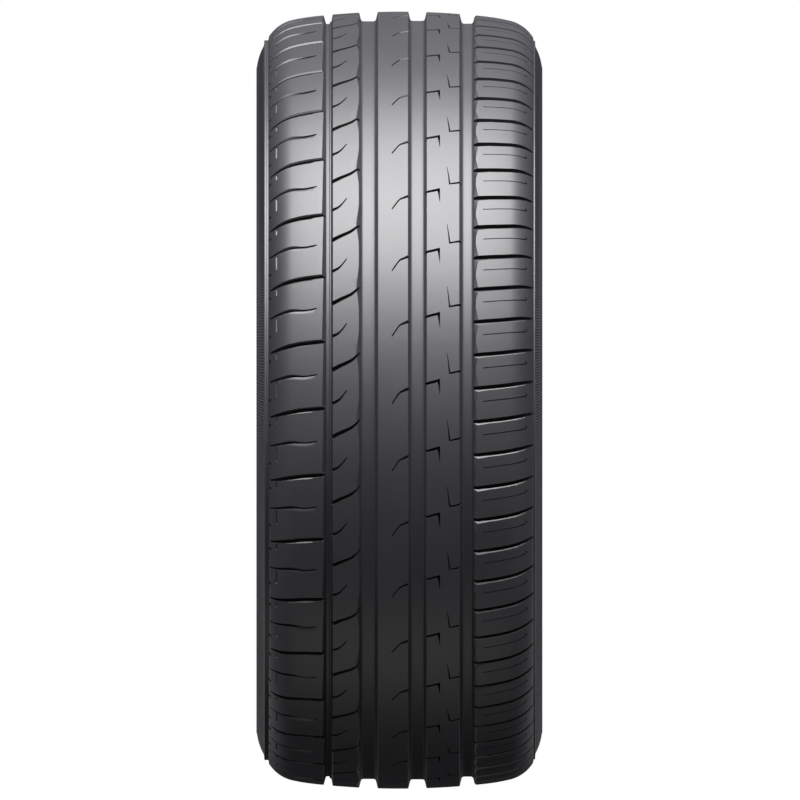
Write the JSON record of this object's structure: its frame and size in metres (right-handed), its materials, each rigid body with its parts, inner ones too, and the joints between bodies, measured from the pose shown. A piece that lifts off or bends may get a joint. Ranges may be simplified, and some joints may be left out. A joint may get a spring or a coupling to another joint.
{
  "type": "car tyre",
  "caption": "Low-profile car tyre with grooved asymmetric tread, rounded shoulders, rim-guard ribs and a hollow inside between its beads.",
  "frame": {"origin": "on the spin axis, level with the floor that the tyre's lower sidewall rests on", "axes": "+Z along the spin axis, upwards as the tyre lies on its side; the tyre is as wide along X as along Y"},
  "size_m": [0.6432, 0.6432, 0.2367],
  "materials": {
    "tyre": "satin moulded rubber"
  },
  "bodies": {
    "root": {"tyre": "tyre"}
  },
  "joints": []
}
